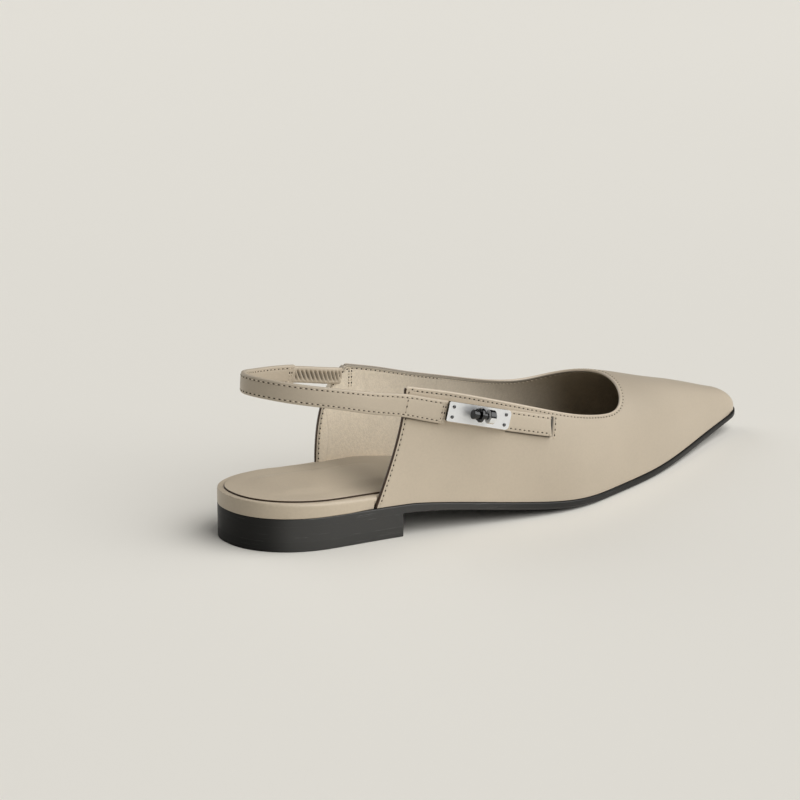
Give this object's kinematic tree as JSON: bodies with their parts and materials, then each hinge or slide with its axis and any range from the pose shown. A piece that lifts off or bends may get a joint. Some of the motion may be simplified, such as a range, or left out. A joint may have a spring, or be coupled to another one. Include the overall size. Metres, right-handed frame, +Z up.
{
  "type": "slingback shoe",
  "caption": "Low pointed slingback flat for the right foot: hollow leather upper, heel strap with gathered elastic and a turn-lock plate, stacked heel and thin leather sole.",
  "frame": {"origin": "middle of the heel's floor face, on the floor", "axes": "+X from heel to toe, +Y to the medial (inner) side, +Z up"},
  "size_m": [0.2656, 0.0793, 0.0687],
  "materials": {
    "calf_beige": "satin smooth calf",
    "calf_footbed": "satin smooth calf",
    "edge_black": "painted edge, half gloss",
    "rubber_black": "matt",
    "polished_metal": "polished"
  },
  "bodies": {
    "shoe": {"outsole": "edge_black", "heel_block": "edge_black", "heel_top_piece": "rubber_black", "footbed": "calf_footbed", "insole_sock": "calf_footbed", "upper": "calf_beige", "heel_strap": "calf_beige", "strap_elastic": "calf_beige", "lock_tab": "calf_beige", "lock_plate": "polished_metal", "plate_pin_1": "polished_metal", "plate_pin_2": "polished_metal", "plate_pin_3": "polished_metal", "plate_pin_4": "polished_metal"},
    "knob": {"turn_knob": "polished_metal"}
  },
  "joints": [
    {"name": "knob_turn", "type": "hinge", "parent": "shoe", "child": "knob", "pos_m": [0.05878, -0.03708, 0.04718], "axis": [-0.1696, -0.9831, 0.0686], "range_deg": [0, 90]}
  ]
}
